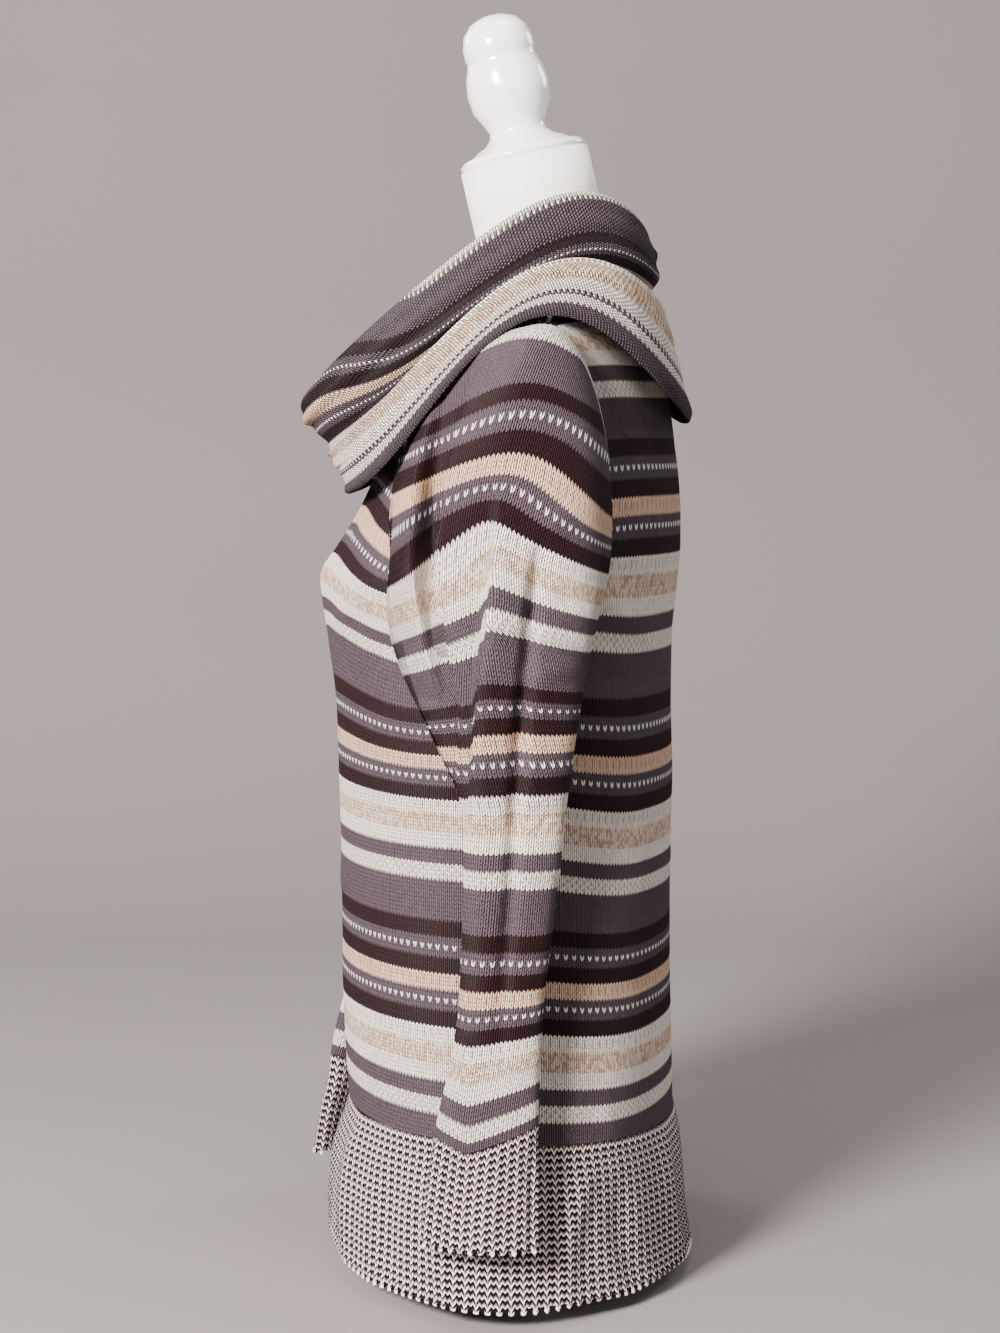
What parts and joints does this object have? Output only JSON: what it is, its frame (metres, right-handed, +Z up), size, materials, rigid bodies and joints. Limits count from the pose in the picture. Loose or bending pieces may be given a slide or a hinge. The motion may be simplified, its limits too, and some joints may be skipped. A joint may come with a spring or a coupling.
{
  "type": "cowl neck sweater on a limbless dress form",
  "caption": "Striped knit tunic with a wide folded cowl, long sleeves and a textured hem band, worn by a tabletop dress form with a turned finial.",
  "frame": {"origin": "middle of the whole object's footprint, on the surface that the dress form stands on", "axes": "+Z up, -Y towards the garment's front, +X towards the wearer's left"},
  "size_m": [0.4538, 0.2909, 0.9146],
  "materials": {
    "striped_knit": "jersey stripes in grey, dark brown, peach, cream and tan yarn",
    "mesh_knit": "two-colour slip-stitch knit, pale loops over dark ground",
    "cowl_knit": "the same stripes with their reverse side out",
    "form_cover": "smooth off-white jersey cover",
    "painted_wood": "gloss off-white paint on turned wood"
  },
  "bodies": {
    "root": {"body_front": "striped_knit", "body_back": "striped_knit", "hem_band_front": "mesh_knit", "hem_band_back": "mesh_knit", "sleeve_left": "striped_knit", "sleeve_right": "striped_knit", "cuff_left": "mesh_knit", "cuff_right": "mesh_knit", "cowl": "cowl_knit", "form_torso": "form_cover", "finial": "painted_wood"}
  },
  "joints": []
}
